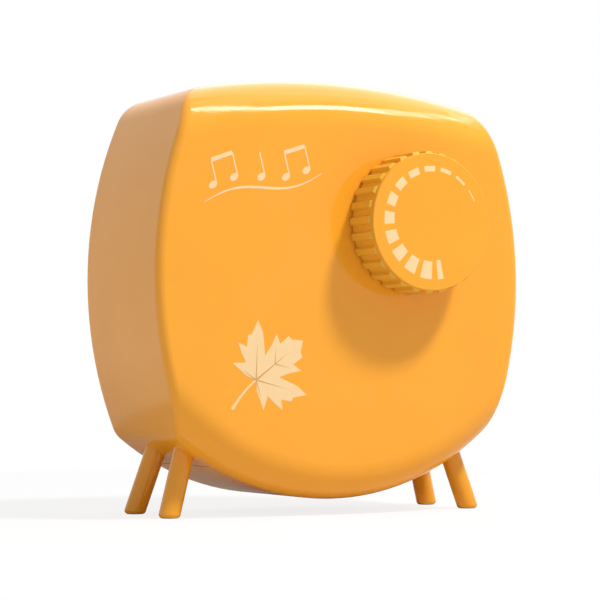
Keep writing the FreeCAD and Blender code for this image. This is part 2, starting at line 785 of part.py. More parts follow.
def pinned_cylinder():
    """Brass sleeve with end plates and a spread of small pins, one track for each note."""
    sleeve = bar(cylinder_radius, CYLINDER_Y, CYLINDER_Z, CYLINDER_LEFT, CYLINDER_RIGHT)
    hollow = bar(cylinder_radius - cylinder_wall, CYLINDER_Y, CYLINDER_Z,
                 CYLINDER_LEFT + cylinder_wall, CYLINDER_RIGHT - cylinder_wall)
    bore = bar(cylinder_arbor_radius + seat_clearance, CYLINDER_Y, CYLINDER_Z,
               CYLINDER_LEFT - past, CYLINDER_RIGHT + past)
    sleeve = sleeve.cut([hollow, bore])
    golden_turn = 360 * (math.sqrt(5) - 1) / 2
    sunk = cylinder_radius - cylinder_wall / 2
    pins = []
    for note in range(notes):
        for beat in range(pins_per_note):
            angle = math.radians(golden_turn * note + 360 * beat / pins_per_note)
            outward = Vector(0, math.cos(angle), math.sin(angle))
            start = Vector(note_x(note), CYLINDER_Y, CYLINDER_Z) + outward * sunk
            pins.append(Part.makeCylinder(pin_radius, PIN_TIP - sunk, start, outward))
    return sleeve.fuse(pins)


def cylinder_arbor():
    """Steel arbor of the cylinder, running in the bearing and in the governor's frame."""
    right = knob_x - CROWN_RADIUS + crown_pinion_face / 2 + end_float
    left = FRAME_RIGHT - frame_plate
    return bar(cylinder_arbor_radius, CYLINDER_Y, CYLINDER_Z, left, right)


def cylinder_pinion():
    """Pinion at the cylinder's right end, with one tooth in a gap of the great wheel."""
    gear = spur_gear(crown_pinion_teeth, crown_module, pinion_addendum, crown_pinion_face,
                     tooth_share, cylinder_arbor_radius + seat_clearance)
    return across(gear, knob_x - CROWN_RADIUS - crown_pinion_face / 2, CYLINDER_Y, CYLINDER_Z, 180)


def cylinder_wheel():
    """Large wheel at the cylinder's left end, with one tooth pointing at the governor."""
    gear = spur_gear(cylinder_wheel_teeth, train_module, wheel_addendum, gear_face,
                     fine_tooth_share, cylinder_arbor_radius + seat_clearance)
    return across(gear, WHEEL_LEFT, CYLINDER_Y, CYLINDER_Z, 270)


def comb_screw_places():
    """Where the comb is screwed to its pedestal."""
    z = (COMB_ROOT_Z + COMB_END_Z) / 2
    return [(CYLINDER_LEFT + comb_screw_inset, z), (CYLINDER_RIGHT - comb_screw_inset, z)]


def comb():
    """Steel comb: a thick base and tuned teeth that grow shorter from bass to treble."""
    left = note_x(0) - note_pitch / 2
    right = note_x(notes - 1) + note_pitch / 2
    margin = comb_side_margin
    base = block(left - margin, right + margin, COMB_FRONT, COMB_BACK, COMB_END_Z, COMB_ROOT_Z)
    edge = [e for e in base.Edges
            if e.BoundBox.ZMin > COMB_ROOT_Z - hair and e.BoundBox.YMin > COMB_FRONT + hair]
    base = base.makeChamfer(comb_base_thickness - comb_tooth_thickness, edge)
    blade_back = COMB_FRONT + comb_tooth_thickness
    blade = block(left, right, COMB_FRONT, blade_back, COMB_ROOT_Z - past, COMB_TIP_Z)
    plate = base.fuse(blade)
    half = comb_slot / 2
    cuts = []
    for index in range(notes - 1):
        share = index / (notes - 2)
        length = comb_long_tooth + (comb_short_tooth - comb_long_tooth) * share
        x = note_x(index) + note_pitch / 2
        cuts.append(block(x - half, x + half, COMB_FRONT - past, COMB_BACK + past,
                          COMB_TIP_Z - length, COMB_TIP_Z + past))
    for x, z in comb_screw_places():
        hole = screw_shank_radius + seat_clearance
        cuts.append(column(hole, x, z, COMB_FRONT - past, COMB_BACK + past))
    return plate.cut(cuts).removeSplitter()


def foot_screw_places():
    """Where the bearing and the governor's frame are screwed to the bedplate."""
    low = FRAME_LOW - frame_foot / 2
    high = FRAME_HIGH + frame_foot / 2
    bearing = BEARING_LEFT - bearing_foot_length / 2
    return [(WORM_X, low), (WORM_X, high), (bearing, CYLINDER_Z)]


def cylinder_bearing():
    """Right-hand bearing of the cylinder: an upright plate on a screwed foot."""
    low = CYLINDER_Z - bearing_half_width
    high = CYLINDER_Z + bearing_half_width
    foot_left = BEARING_LEFT - bearing_foot_length
    plate = block(BEARING_LEFT, BEARING_RIGHT, PLATE_BACK, CYLINDER_Y, low, high)
    eye = bar(bearing_half_width, CYLINDER_Y, CYLINDER_Z, BEARING_LEFT, BEARING_RIGHT)
    foot = block(foot_left, BEARING_RIGHT, PLATE_BACK, FOOT_BACK, low, high)
    bearing = plate.fuse([eye, foot]).removeSplitter()
    hole = cylinder_arbor_radius + running_clearance
    bore = bar(hole, CYLINDER_Y, CYLINDER_Z, BEARING_LEFT - past, BEARING_RIGHT + past)
    x, z = foot_screw_places()[2]
    screw_hole = column(screw_shank_radius + seat_clearance, x, z, PLATE_FRONT, FOOT_BACK + past)
    return bearing.cut([bore, screw_hole])


def governor_frame():
    """Two upright plates joined by feet and by a bridge over the air brake."""
    bridge_back = BRIDGE_Y + frame_plate
    inner_left = FRAME_RIGHT - frame_plate
    inner = block(inner_left, FRAME_RIGHT, PLATE_BACK, bridge_back, FRAME_LOW, FRAME_HIGH)
    arm_back = CYLINDER_Y + bearing_half_width
    arm_top = CYLINDER_Z + bearing_half_width
    arm = block(inner_left, FRAME_RIGHT, PLATE_BACK, arm_back, GOVERNOR_Z, arm_top)
    outer = block(FRAME_LEFT, FRAME_LEFT + frame_plate, PLATE_BACK, bridge_back, FRAME_LOW, FRAME_HIGH)
    bridge = block(FRAME_LEFT, FRAME_RIGHT, BRIDGE_Y, bridge_back, FRAME_LOW, WORM_Z + frame_margin)
    low_foot = block(FRAME_LEFT, FRAME_RIGHT, PLATE_BACK, FOOT_BACK, FRAME_LOW - frame_foot, FRAME_LOW)
    high_foot = block(FRAME_LEFT, FRAME_RIGHT, PLATE_BACK, FOOT_BACK, FRAME_HIGH, FRAME_HIGH + frame_foot)
    frame = inner.fuse([arm, outer, bridge, low_foot, high_foot]).removeSplitter()
    left = FRAME_LEFT - past
    right = FRAME_RIGHT + past
    cuts = [
        bar(cylinder_arbor_radius + running_clearance, CYLINDER_Y, CYLINDER_Z, left, right),
        bar(governor_arbor_radius + running_clearance, CYLINDER_Y, GOVERNOR_Z, left, right),
        column(worm_shaft_radius + running_clearance, WORM_X, WORM_Z, BRAKE_Y, bridge_back + past),
    ]
    for x, z in foot_screw_places()[:2]:
        hole = screw_shank_radius + seat_clearance
        cuts.append(column(hole, x, z, PLATE_FRONT, FOOT_BACK + past))
    return frame.cut(cuts)


def governor_arbor():
    """Thin steel arbor across the governor's frame."""
    left = FRAME_LEFT - end_float
    return bar(governor_arbor_radius, CYLINDER_Y, GOVERNOR_Z, left, WHEEL_LEFT + gear_face)


def governor_pinion():
    """Small pinion driven by the cylinder's wheel, with one gap pointing at it."""
    gear = spur_gear(governor_pinion_teeth, train_module, pinion_addendum, gear_face,
                     fine_tooth_share, governor_arbor_radius + seat_clearance)
    return across(gear, WHEEL_LEFT, CYLINDER_Y, GOVERNOR_Z, 90 + 180 / governor_pinion_teeth)


def worm_wheel():
    """Wheel that turns the worm, with one gap pointing at it."""
    gear = spur_gear(worm_wheel_teeth, train_module, wheel_addendum, gear_face,
                     fine_tooth_share, governor_arbor_radius + seat_clearance)
    return across(gear, WORM_X - gear_face / 2, CYLINDER_Y, GOVERNOR_Z, 270 + 180 / worm_wheel_teeth)


def worm_shaft():
    """Upright shaft with a single-start worm and thin pivots in the bedplate and bridge."""
    root = worm_radius - worm_root * train_module
    tip = worm_radius + worm_tip * train_module
    length = worm_turns * WORM_PITCH
    slope = math.tan(math.radians(pressure_angle))
    half = worm_thread_share * WORM_PITCH / 2
    wide = half + worm_root * train_module * slope
    narrow = half - worm_tip * train_module * slope
    buried = root - train_module / 2
    profile = Part.makePolygon([
        Vector(buried, 0, -wide),
        Vector(root, 0, -wide),
        Vector(tip, 0, -narrow),
        Vector(tip, 0, narrow),
        Vector(root, 0, wide),
        Vector(buried, 0, wide),
        Vector(buried, 0, -wide),
    ])
    helix = Part.makeHelix(WORM_PITCH, length, worm_radius)
    thread = Part.Wire(helix.Edges).makePipeShell([profile], True, True)
    thread.translate(Vector(0, 0, -length / 2))
    turn = Rotation(UP, TO_RIGHT, TO_REAR, "ZXY")
    place = FreeCAD.Placement(Vector(WORM_X, CYLINDER_Y, WORM_Z), turn)
    thread.Placement = place.multiply(thread.Placement)
    reach = length / 2 + WORM_PITCH
    core = column(root, WORM_X, WORM_Z, CYLINDER_Y - reach, CYLINDER_Y + length / 2 + wide)
    pivot = column(worm_shaft_radius, WORM_X, WORM_Z, PLATE_FRONT + end_float, BRIDGE_Y + frame_plate)
    return core.fuse([thread, pivot])


def air_brake():
    """Two-bladed air brake on the worm's shaft."""
    back = BRAKE_Y + brake_height
    half = brake_blade / 2
    hub = column(brake_hub_radius, WORM_X, WORM_Z, BRAKE_Y, back)
    blade = block(WORM_X - brake_radius, WORM_X + brake_radius, BRAKE_Y, back, WORM_Z - half, WORM_Z + half)
    bore = column(worm_shaft_radius + seat_clearance, WORM_X, WORM_Z, BRAKE_Y - past, back + past)
    return hub.fuse(blade).cut(bore).removeSplitter()


def all_parts():
    """Every piece of the music box by its name."""
    outer = case_outer()
    parts = {
        "housing": housing(outer),
        "rear_cover": rear_cover(),
        "rear_cover_screws": cover_screws(),
        "base_panel": base_panel(),
        "winding_knob": winding_knob(),
        "winding_arbor": winding_arbor(),
        "great_wheel": great_wheel(),
        "ratchet_wheel": ratchet_wheel(),
        "click_pawls": click_pawls(),
        "arbor_clip": arbor_clip(),
        "bedplate": bedplate(),
        "movement_screws": screw_group(movement_screw_places(), PLATE_BACK, movement_screw_length),
        "spring_drum": spring_drum(),
        "mainspring": mainspring(),
        "pinned_cylinder": pinned_cylinder(),
        "cylinder_arbor": cylinder_arbor(),
        "cylinder_pinion": cylinder_pinion(),
        "cylinder_wheel": cylinder_wheel(),
        "cylinder_bearing": cylinder_bearing(),
        "comb": comb(),
        "comb_screws": screw_group(comb_screw_places(), COMB_BACK, comb_screw_length + comb_base_thickness),
        "governor_frame": governor_frame(),
        "frame_screws": screw_group(foot_screw_places(), FOOT_BACK, foot_screw_length),
        "governor_arbor": governor_arbor(),
        "governor_pinion": governor_pinion(),
        "worm_wheel": worm_wheel(),
        "worm_shaft": worm_shaft(),
        "air_brake": air_brake(),
    }
    for face, row in ((1, "front"), (-1, "rear")):
        for side, hand in ((-1, "left"), (1, "right")):
            parts[f"leg_{row}_{hand}"] = leg(side, face, outer)
    return parts


def main():
    """Write one file for each piece."""
    os.makedirs("parts", exist_ok=True)
    for name, shape in all_parts().items():
        shape.exportStep(f"parts/{name}.step")
        print(name, shape.isValid(), len(shape.Solids), round(shape.Volume, 2))


main()
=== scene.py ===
import json
import math

import bmesh
import bpy
from bpy.props import FloatProperty, FloatVectorProperty, IntProperty, PointerProperty
from mathutils import Matrix, Vector


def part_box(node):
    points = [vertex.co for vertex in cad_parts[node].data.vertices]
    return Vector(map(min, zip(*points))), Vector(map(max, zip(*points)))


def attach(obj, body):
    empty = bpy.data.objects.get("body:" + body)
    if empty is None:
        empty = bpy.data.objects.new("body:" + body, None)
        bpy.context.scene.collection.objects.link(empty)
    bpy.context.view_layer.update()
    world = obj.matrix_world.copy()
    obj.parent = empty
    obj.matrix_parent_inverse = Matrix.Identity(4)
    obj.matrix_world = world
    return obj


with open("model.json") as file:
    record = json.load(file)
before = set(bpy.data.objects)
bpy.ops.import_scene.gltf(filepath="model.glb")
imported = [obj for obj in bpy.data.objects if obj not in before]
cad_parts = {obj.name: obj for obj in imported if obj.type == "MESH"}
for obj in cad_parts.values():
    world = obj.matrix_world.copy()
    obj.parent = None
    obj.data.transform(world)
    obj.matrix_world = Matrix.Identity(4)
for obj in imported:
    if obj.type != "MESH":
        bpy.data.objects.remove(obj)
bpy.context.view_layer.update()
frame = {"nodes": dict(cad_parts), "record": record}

bl_info = {
    "name": "Television Music Box",
    "version": (1, 0, 0),
    "blender": (4, 5, 0),
    "location": "View3D > Sidebar > Music Box",
    "description": "Finishes, prints and studio for a wind-up music box in a television case",
    "category": "Object",
}

MM = 0.001
KNOB_LOW, KNOB_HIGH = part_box("winding_knob")
KNOB_CENTRE = (KNOB_LOW + KNOB_HIGH) / 2
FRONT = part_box("housing")[0].y

CASE_NODES = ("housing", "rear_cover", "base_panel")
KNOB_NODES = ("winding_knob",)
LEG_NODES = ("leg_front_left", "leg_front_right", "leg_rear_left", "leg_rear_right")

# Right half of the leaf's edge, from its foot to its tip, for a leaf of length 1
LEAF_EDGE = (
    (0.00, 0.00),
    (0.14, -0.09),
    (0.44, -0.17),
    (0.31, 0.02),
    (0.46, 0.04),
    (0.63, 0.09),
    (0.49, 0.17),
    (0.62, 0.29),
    (0.59, 0.35),
    (0.70, 0.56),
    (0.51, 0.52),
    (0.40, 0.46),
    (0.20, 0.34),
    (0.26, 0.52),
    (0.35, 0.70),
    (0.19, 0.65),
    (0.20, 0.84),
    (0.12, 0.86),
    (0.00, 1.00),
)

# Veins of the leaf's right half: start, end and width at the start
LEAF_VEINS = (
    ((0.00, 0.00), (0.00, 0.70), 0.028),
    ((0.00, 0.00), (0.42, 0.34), 0.020),
    ((0.00, 0.00), (0.26, -0.09), 0.016),
    ((0.00, 0.40), (0.17, 0.55), 0.016),
)

# Share of a vein's width that is left at its end
VEIN_TIP = 0.05

# Step in height between strokes of ink that cross, as a share of the leaf's length
LEAF_LAYER = 0.0003

# The leaf's stalk, as shares of the leaf's length: its width at the foot, how much wider its end
# is, how far down and to the side it reaches, and how far up into the leaf it starts
STALK_WIDTH = 0.030
STALK_SWELL = 0.025
STALK_DROP = 0.60
STALK_BEND = 0.11
STALK_START = 0.02

# Places of the notes along their line, and the pairs of notes that a beam joins
NOTE_PLACES = (0.10, 0.28, 0.50, 0.70, 0.88)
NOTE_BEAMS = ((0, 1), (3, 4))

# Sizes of the notes and their line. The wave is a share of the line's length, and the widths of the
# stem, the beam and the line's tips are shares of the stroke.
TUNE_STROKE = 0.5 * MM
TUNE_LAYER = 0.005 * MM
TUNE_WAVE = 0.045
TIP_WIDTH = 0.25
HEAD_RADIUS = 0.95 * MM
HEAD_STRETCH = (1.25, 0.85, 1, 1)
HEAD_SLOPE = math.radians(22)
HEAD_RISE = 2.6 * MM
STEM_ASIDE = 0.98 * MM
STEM_LENGTH = 5.6 * MM
STEM_WIDTH = 0.75
BEAM_WIDTH = 2.0

# Finishes of the movement by material slot: colour, stain, metallic, roughness, how closely the
# grain is set along X, Y and Z, and the depth of its relief
MOVEMENT_FINISHES = {
    "bright_steel": ((0.60, 0.60, 0.61), (0.50, 0.50, 0.51), 1.0, 0.22, (1, 6, 1), 0.002 * MM),
    "brass": ((0.79, 0.55, 0.22), (0.66, 0.43, 0.16), 1.0, 0.28, (6, 1, 1), 0.003 * MM),
    "zinc_casting": ((0.42, 0.43, 0.45), (0.34, 0.35, 0.37), 1.0, 0.48, (1, 1, 1), 0.012 * MM),
    "spring_steel": ((0.33, 0.36, 0.42), (0.24, 0.25, 0.31), 1.0, 0.3, (1, 1, 8), 0.003 * MM),
    "white_nylon": ((0.80, 0.78, 0.71), (0.74, 0.72, 0.64), 0.0, 0.45, (1, 1, 1), 0.006 * MM),
}

# Features to the metre of the patterns in the finishes
PIGMENT_CLOUDS = 45.0
GLOSS_PATCHES = 260.0
MOULDING_WAVES = 320.0
GRIP_SHADE_SPOTS = 500.0
INK_MOTTLE = 700.0
INK_GRAIN = 2600.0
METAL_STAINS = 160.0
METAL_GRAIN = 900.0
FLOOR_SPECKS = 30.0

# Range that most of a noise pattern's values lie in
NOISE_LOW, NOISE_HIGH = 0.3, 0.7

# The plastic's refraction, how far the patches of its gloss vary in roughness, and how dark the
# denser pigment of the legs is
PLASTIC_IOR = 1.5
GLOSS_SPREAD = 0.03
LEG_SHADE = 0.95

# Heights between which the case gets duller towards its underside
DULL_FROM = 24 * MM
DULL_TO = 12 * MM

# Depth of the knob's flat face, and how much of the plain plastic shows through the painted shade
# on its grip
KNOB_FACE = 0.3 * MM
GRIP_PATCHES = 0.3

# The movement's smoothest and roughest grain, as shares of the finish's roughness
GRAIN_SMOOTH = 0.8
GRAIN_ROUGH = 1.25

# The ink's colour where the screen laid it thinner, its roughness and its relief, how deep its
# foot is sunk in the case, and how much thicker the veins' ink is
THIN_INK = 0.94
INK_ROUGHNESS = (0.3, 0.42)
INK_RELIEF = 0.003 * MM
INK_SUNK = 0.02 * MM
VEIN_BUILD_UP = 1.4

# The lamp that lights the case, hidden from the gloss, and the lamps that show only in the gloss:
# name, turn and rise from the case in degrees, width and height in metres, the stage's brightness
# that they take, their share of it and their roll in degrees
KEY_PANEL = ("key_panel", 34.5, 55.6, (0.14, 0.10), "key", 1.0, 0.0)
GLOSS_PANELS = (
    ("strip_up", 29.6, 56.5, (0.048, 0.30), "strip", 1.0, 0.0),
    ("strip_along", 38.0, 43.8, (0.20, 0.121), "strip", 1.0, 0.0),
    ("strip_end", 53.0, 45.4, (0.17, 0.075), "strip", 0.42, 22.0),
    ("strip_tail", 70.0, 48.6, (0.25, 0.045), "strip", 0.25, 9.0),
    ("strip_tip", 92.0, 48.2, (0.26, 0.035), "strip", 0.16, -5.0),
    ("pale_ceiling", 133.0, 50.0, (0.70, 0.9), "ceiling", 1.0, 0.0),
    ("pale_slope", 66.0, 64.0, (0.34, 0.62), "ceiling", 0.9, 42.0),
)

# The floor: its half width in metres, how far it lies below the feet, its roughness, and its
# colours, the last of them for the camera alone
FLOOR_REACH = 3.0
FLOOR_DROP = 0.05 * MM
FLOOR_ROUGHNESS = 0.9
FLOOR_PALE = (0.71, 0.71, 0.71, 1)
FLOOR_SPECK = (0.69, 0.69, 0.69, 1)
FLOOR_SEEN = (0.86, 0.86, 0.86, 1)

# Colour of the background, and of the floor where it fades into it
WHITE = (1, 1, 1, 1)

# The camera's sensor in millimetres, and the nearest distance that it sees in metres
SENSOR_WIDTH = 36.0
CLIP_START = 0.01


class CaseFinish(bpy.types.PropertyGroup):
    """Moulded plastic of the case, knob and legs."""

    colour: FloatVectorProperty(
        name="Plastic colour",
        description="Colour of the moulded plastic",
        subtype="COLOR",
        default=(0.96, 0.397, 0.027),
    )
    shade: FloatVectorProperty(
        name="Darker plastic",
        description="Colour where the plastic's pigment is a little denser",
        subtype="COLOR",
        default=(0.93, 0.377, 0.023),
    )
    # The legs' colour is the case's plastic darkened with painted shade
    shaded_leg_colour: FloatVectorProperty(
        name="Leg colour",
        description="Colour of the legs' plastic",
        subtype="COLOR",
        default=(0.86, 0.35, 0.012),
    )
    # The grip's colour is the plastic darkened and dulled with painted shade and a painted greyish
    # reflection on the knob's ridges
    shaded_grip_colour: FloatVectorProperty(
        name="Grip colour",
        description="Colour of the knob's ridges, darkened by handling",
        subtype="COLOR",
        default=(0.79, 0.445, 0.042),
    )
    roughness: FloatProperty(
        name="Roughness",
        description="Roughness of the polished plastic",
        subtype="FACTOR",
        min=0.0,
        max=1.0,
        default=0.10,
    )
    shine: FloatProperty(
        name="Shine",
        description="Strength of the mirror-like reflection on the plastic",
        subtype="FACTOR",
        min=0.0,
        max=1.0,
        default=0.35,
    )
    dulled: FloatProperty(
        name="Dulled underside",
        description="Roughness added low on the case, where tables and hands have dulled it",
        subtype="FACTOR",
        min=0.0,
        max=1.0,
        default=0.08,
    )
    knob_shine: FloatProperty(
        name="Knob shine",
        description="Strength of the mirror-like reflection on the knob",
        subtype="FACTOR",
        min=0.0,
        max=1.0,
        default=0.3,
    )
    grip_dulled: FloatProperty(
        name="Dulled grip",
        description="Roughness added on the knob's ridges, where fingers have dulled them",
        subtype="FACTOR",
        min=0.0,
        max=1.0,
        default=0.3,
    )
    ripple: FloatProperty(
        name="Moulding ripple",
        description="Depth of the faint waves that moulding leaves in the surface",
        unit="LENGTH",
        default=0.004 * MM,
    )


class KnobMarks(bpy.types.PropertyGroup):
    """Printed bars on the knob's face."""

    count: IntProperty(
        name="Bars",
        description="Number of bars, the first of them half as wide",
        min=2,
        default=13,
    )
    first: FloatProperty(
        name="First bar",
        description="Direction of the first bar's middle, from the right-hand side upwards",
        subtype="ANGLE",
        default=math.radians(-77.5),
    )
    step: FloatProperty(
        name="Step",
        description="Turn from each bar to the next",
        subtype="ANGLE",
        default=math.radians(20.95),
    )
    width: FloatProperty(
        name="Bar width",
        description="Width of a bar, as a turn about the knob",
        subtype="ANGLE",
        default=math.radians(13.8),
    )
    ring_place: FloatVectorProperty(
        name="Ring's middle",
        description="Middle of the ring of bars from the knob's middle, across and up",
        size=2,
        unit="LENGTH",
        default=(0.3 * MM, 0.1 * MM),
    )
    first_ends: FloatVectorProperty(
        name="First bar's ends",
        description="Distance of the first bar's inner and outer ends from the ring's middle",
        size=2,
        unit="LENGTH",
        default=(9.28 * MM, 13.85 * MM),
    )
    last_ends: FloatVectorProperty(
        name="Last bar's ends",
        description="Distance of the last bar's inner and outer ends from the ring's middle",
        size=2,
        unit="LENGTH",
        default=(12.78 * MM, 13.02 * MM),
    )


class FrontPrints(bpy.types.PropertyGroup):
    """Prints on the case's front."""

    ink: FloatVectorProperty(
        name="Ink",
        description="Colour of the cream ink",
        subtype="COLOR",
        default=(0.93, 0.65, 0.33),
    )
    vein: FloatVectorProperty(
        name="Vein ink",
        description="Colour of the leaf's veins",
        subtype="COLOR",
        default=(0.66, 0.36, 0.11),
    )
    thickness: FloatProperty(
        name="Ink thickness",
        description="How far the ink stands out from the plastic",
        unit="LENGTH",
        default=0.03 * MM,
    )
    leaf_place: FloatVectorProperty(
        name="Leaf's foot",
        description="Place of the leaf's foot on the front, across and up",
        size=2,
        unit="LENGTH",
        default=(-24.5 * MM, 31.95 * MM),
    )
    leaf_length: FloatProperty(
        name="Leaf length",
        description="Length of the leaf from its foot to its tip",
        unit="LENGTH",
        default=15.5 * MM,
    )
    leaf_turn: FloatProperty(
        name="Leaf turn",
        description="Turn of the leaf from upright",
        subtype="ANGLE",
        default=math.radians(-53.4),
    )
    tune_place: FloatVectorProperty(
        name="Tune's start",
        description="Place of the left end of the line of notes, across and up",
        size=2,
        unit="LENGTH",
        default=(-38.0 * MM, 72.6 * MM),
    )
    tune_length: FloatProperty(
        name="Tune length",
        description="Length of the line of notes",
        unit="LENGTH",
        default=32.0 * MM,
    )
    tune_slope: FloatProperty(
        name="Tune slope",
        description="Upward slope of the line of notes",
        subtype="ANGLE",
        default=math.radians(14.5),
    )


class StudioStage(bpy.types.PropertyGroup):
    """Camera, light and floor."""

    target: FloatVectorProperty(
        name="Target",
        description="Point that the camera looks at",
        subtype="TRANSLATION",
        default=(-1.66 * MM, 4.94 * MM, 51.57 * MM),
    )
    distance: FloatProperty(
        name="Distance",
        description="Distance of the camera from its target",
        unit="LENGTH",
        default=0.522,
    )
    turn: FloatProperty(
        name="Turn",
        description="Turn of the camera to the case's left-hand side",
        subtype="ANGLE",
        default=math.radians(-29.31),
    )
    rise: FloatProperty(
        name="Rise",
        description="Height of the camera above its target, as an angle",
        subtype="ANGLE",
        default=math.radians(-2.244),
    )
    lens: FloatProperty(
        name="Lens",
        description="Focal length of the lens in millimetres",
        unit="CAMERA",
        default=127.9,
    )
    light_distance: FloatProperty(
        name="Light distance",
        description="Distance of the lights from the case",
        unit="LENGTH",
        default=0.9,
    )
    key: FloatProperty(
        name="Key light",
        description="Brightness of the panel that lights the case",
        default=162.0,
    )
    strip: FloatProperty(
        name="Strip light",
        description="Brightness of the strip that shows as a line in the gloss",
        default=20.0,
    )
    ceiling: FloatProperty(
        name="Ceiling",
        description="Brightness of the pale ceiling that shows in the gloss",
        default=1.1,
    )
    ambient: FloatProperty(
        name="Ambient",
        description="Strength of the light from all round",
        default=0.5,
    )
    floor_glow: FloatProperty(
        name="Floor glow",
        description="How far the floor near the case fades into the white background",
        subtype="FACTOR",
        min=0.0,
        max=1.0,
        default=0.82,
    )
    floor_shaded: FloatProperty(
        name="Shaded floor",
        description="Radius of the floor round the case that isn't faded out",
        unit="LENGTH",
        default=0.08,
    )
    floor_faded: FloatProperty(
        name="Faded floor",
        description="Radius past which the floor is as white as the background",
        unit="LENGTH",
        default=0.30,
    )


def plug(tree, socket, value):
    """Gives a socket a value, or a link where the value is another node's output."""
    if isinstance(value, bpy.types.NodeSocket):
        tree.links.new(value, socket)
    else:
        socket.default_value = value


def add(tree, kind, inputs=None, **settings):
    """A new node with its settings and its inputs, which are named or numbered."""
    node = tree.nodes.new(kind)
    for name, value in settings.items():
        setattr(node, name, value)
    for name, value in (inputs or {}).items():
        plug(tree, node.inputs[name], value)
    return node


def calc(tree, operation, *values):
    """The result of a Math node."""
    return add(tree, "ShaderNodeMath", dict(enumerate(values)), operation=operation).outputs[0]


def new_finish(name):
    """A new material: its node tree, its shader and the Object coordinates."""
    material = bpy.data.materials.new(name)
    material.use_nodes = True
    tree = material.node_tree
    place = add(tree, "ShaderNodeTexCoord").outputs["Object"]
    return material, tree, tree.nodes["Principled BSDF"], place


def noise(tree, place, scale, detail=3.0):
    """A soft random pattern with this many features to the metre."""
    inputs = {"Vector": place, "Scale": scale, "Detail": detail}
    return add(tree, "ShaderNodeTexNoise", inputs).outputs["Fac"]


def spread(tree, value, start, end, low, high, **settings):
    """A value between start and end, spread from low to high."""
    inputs = {"Value": value, "From Min": start, "From Max": end, "To Min": low, "To Max": high}
    return add(tree, "ShaderNodeMapRange", inputs, **settings).outputs["Result"]


def between(tree, pattern, low, high):
    """A noise pattern's values spread from low to high."""
    return spread(tree, pattern, NOISE_LOW, NOISE_HIGH, low, high)


def smooth(tree, value, start, end, high=1.0):
    """A value that rises smoothly from 0 at start to high at end."""
    return spread(tree, value, start, end, 0.0, high, interpolation_type="SMOOTHSTEP")


def blend(tree, share, first, second):
    """A mix of two colours."""
    node = add(tree, "ShaderNodeMix", data_type="RGBA")
    plug(tree, node.inputs["Factor"], share)
    plug(tree, node.inputs[6], first)
    plug(tree, node.inputs[7], second)
    return node.outputs[2]


def rgba(colour):
    """A colour property as four numbers."""
    return (*colour, 1.0)


def roughen(tree, shader, pattern, depth):
    """Relief of this depth, in metres, from a pattern."""
    bump = add(tree, "ShaderNodeBump", {"Strength": 1.0, "Distance": depth, "Height": pattern})
    plug(tree, shader.inputs["Normal"], bump.outputs["Normal"])


def dress(nodes, material):
    """Gives CAD nodes a finish."""
    for name in nodes:
        slots = frame["nodes"][name].data.materials
        slots.clear()
        slots.append(material)


def nodes_of_slot(slot):
    """The CAD nodes of one of the record's material slots."""
    return [part["node"] for part in frame["record"]["subparts"] if part["material_slot"] == slot]


def plastic(name, settings, pale, dense):
    """Polished plastic: denser and paler pigment, uneven gloss and a faint moulding ripple."""
    material, tree, shader, place = new_finish(name)
    clouds = between(tree, noise(tree, place, PIGMENT_CLOUDS), 0.0, 1.0)
    colour = blend(tree, clouds, rgba(pale), rgba(dense))
    patches = noise(tree, place, GLOSS_PATCHES)
    middle = settings.roughness
    gloss = between(tree, patches, middle - GLOSS_SPREAD, middle + GLOSS_SPREAD)
    plug(tree, shader.inputs["Base Color"], colour)
    plug(tree, shader.inputs["Roughness"], gloss)
    shader.inputs["IOR"].default_value = PLASTIC_IOR
    shader.inputs["Specular IOR Level"].default_value = settings.shine
    roughen(tree, shader, noise(tree, place, MOULDING_WAVES, detail=2.0), settings.ripple)
    return material, tree, shader, place, colour, gloss


def ink(name, colour):
    """Screen-printed ink, mottled where the mesh of the screen laid it thinner."""
    material, tree, shader, place = new_finish(name)
    mottle = noise(tree, place, INK_MOTTLE, detail=4.0)
    thin = [THIN_INK * part for part in colour]
    plug(tree, shader.inputs["Base Color"], blend(tree, mottle, rgba(colour), rgba(thin)))
    plug(tree, shader.inputs["Roughness"], between(tree, mottle, *INK_ROUGHNESS))
    roughen(tree, shader, noise(tree, place, INK_GRAIN), INK_RELIEF)
    return material


def machined(name, colour, stain, metallic, roughness, stretch, relief):
    """Metal or nylon with a grain drawn out along the lines of its machining or moulding."""
    material, tree, shader, place = new_finish(name)
    lines = add(tree, "ShaderNodeMapping", {"Vector": place, "Scale": stretch}).outputs["Vector"]
    grain = noise(tree, lines, METAL_GRAIN, detail=4.0)
    stains = between(tree, noise(tree, place, METAL_STAINS), 0.0, 1.0)
    plug(tree, shader.inputs["Base Color"], blend(tree, stains, rgba(colour), rgba(stain)))
    gloss = between(tree, grain, GRAIN_SMOOTH * roughness, GRAIN_ROUGH * roughness)
    plug(tree, shader.inputs["Roughness"], gloss)
    shader.inputs["Metallic"].default_value = metallic
    roughen(tree, shader, grain, relief)
    return material


